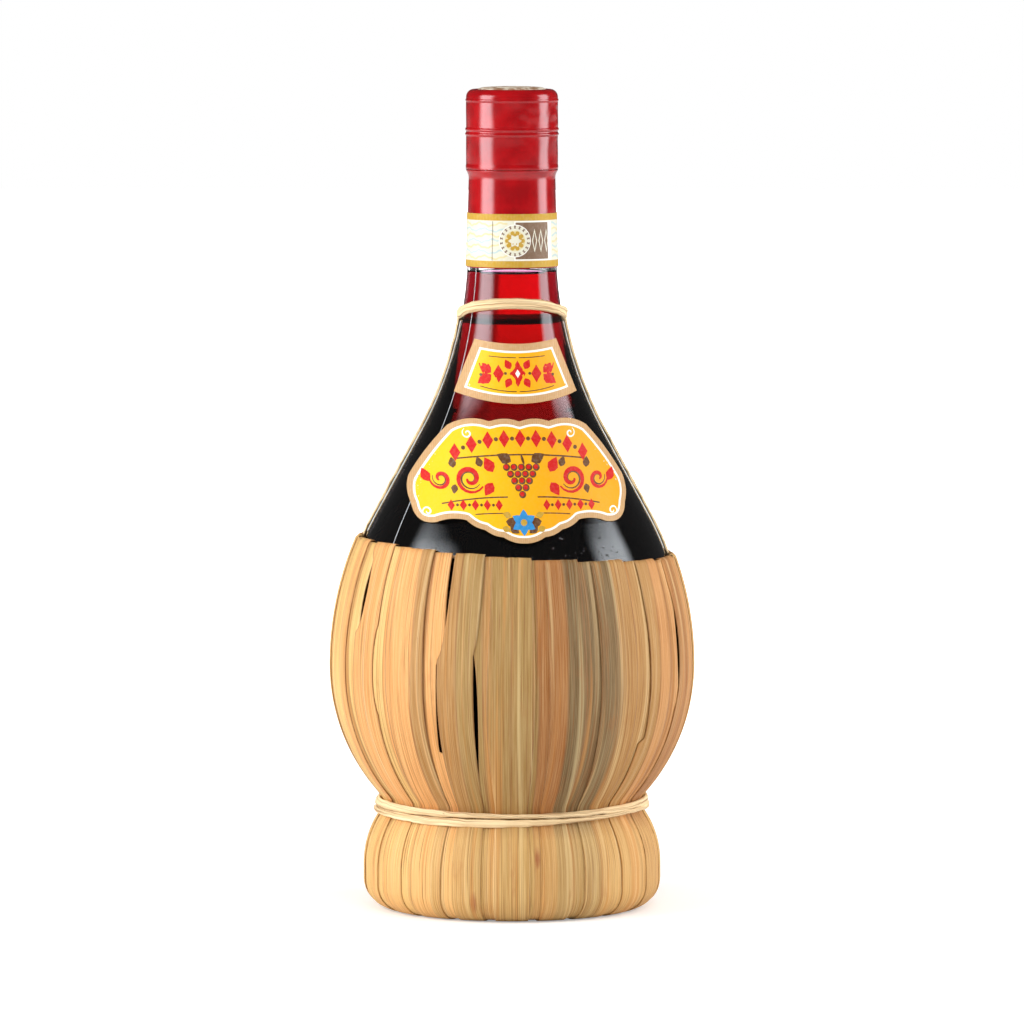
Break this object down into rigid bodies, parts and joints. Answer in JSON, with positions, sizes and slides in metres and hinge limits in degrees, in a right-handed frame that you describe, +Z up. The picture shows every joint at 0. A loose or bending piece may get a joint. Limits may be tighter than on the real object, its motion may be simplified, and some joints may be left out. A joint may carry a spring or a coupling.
{
  "type": "straw-covered wine flask",
  "caption": "Round glass wine flask with a long neck, corked, in a jacket of lengthwise straw blades tied at the waist, with two shoulder labels and a red capsule that lifts off.",
  "frame": {"origin": "middle of the base, on the surface that the flask stands on", "axes": "+Z up along the flask's axis; the labels face -Y, turned 5 degrees towards +X"},
  "size_m": [0.124, 0.124, 0.2783],
  "materials": {
    "glass": "clear",
    "wine": "dark red liquid",
    "cork": "matte",
    "capsule": "glossy",
    "disc": "matte",
    "band_paper": "matte",
    "label_paper": "satin",
    "raffia": "matte",
    "straw_ring": "matte",
    "straw_outer": "satin",
    "straw_inner": "satin"
  },
  "bodies": {
    "flask": {"glass_flask": "glass", "wine": "wine", "capsule_skirt": "capsule", "neck_band": "band_paper", "year_label": "label_paper", "main_label": "label_paper", "neck_tie": "raffia", "shoulder_strand_left": "raffia", "shoulder_strand_right": "raffia", "rim_hoop": "raffia", "waist_binding": "raffia", "base_ring": "straw_ring", "outer_blade_01": "straw_outer", "outer_blade_02": "straw_outer", "outer_blade_03": "straw_outer", "outer_blade_04": "straw_outer", "outer_blade_05": "straw_outer", "outer_blade_06": "straw_outer", "outer_blade_07": "straw_outer", "outer_blade_08": "straw_outer", "outer_blade_09": "straw_outer", "outer_blade_10": "straw_outer", "outer_blade_11": "straw_outer", "outer_blade_12": "straw_outer", "outer_blade_13": "straw_outer", "outer_blade_14": "straw_outer", "outer_blade_15": "straw_outer", "outer_blade_16": "straw_outer", "outer_blade_17": "straw_outer", "outer_blade_18": "straw_outer", "outer_blade_19": "straw_outer", "outer_blade_20": "straw_outer", "inner_blade_01": "straw_inner", "inner_blade_02": "straw_inner", "inner_blade_03": "straw_inner", "inner_blade_04": "straw_inner", "inner_blade_05": "straw_inner", "inner_blade_06": "straw_inner", "inner_blade_07": "straw_inner", "inner_blade_08": "straw_inner", "inner_blade_09": "straw_inner", "inner_blade_10": "straw_inner", "inner_blade_11": "straw_inner", "inner_blade_12": "straw_inner", "inner_blade_13": "straw_inner", "inner_blade_14": "straw_inner", "inner_blade_15": "straw_inner", "inner_blade_16": "straw_inner", "inner_blade_17": "straw_inner", "inner_blade_18": "straw_inner", "inner_blade_19": "straw_inner", "inner_blade_20": "straw_inner"},
    "capsule": {"capsule_top": "capsule", "capsule_disc": "disc"},
    "cork": {"cork": "cork"}
  },
  "joints": [
    {"name": "capsule_lift", "type": "slide", "parent": "flask", "child": "capsule", "axis": [0, 0, 1], "range_m": [0, 0.08]},
    {"name": "cork_pull", "type": "slide", "parent": "flask", "child": "cork", "axis": [0, 0, 1], "range_m": [0, 0.048]}
  ],
  "couplings": [
    {"joint": "cork_pull", "follows": "capsule_lift", "ratio": 0.6}
  ]
}
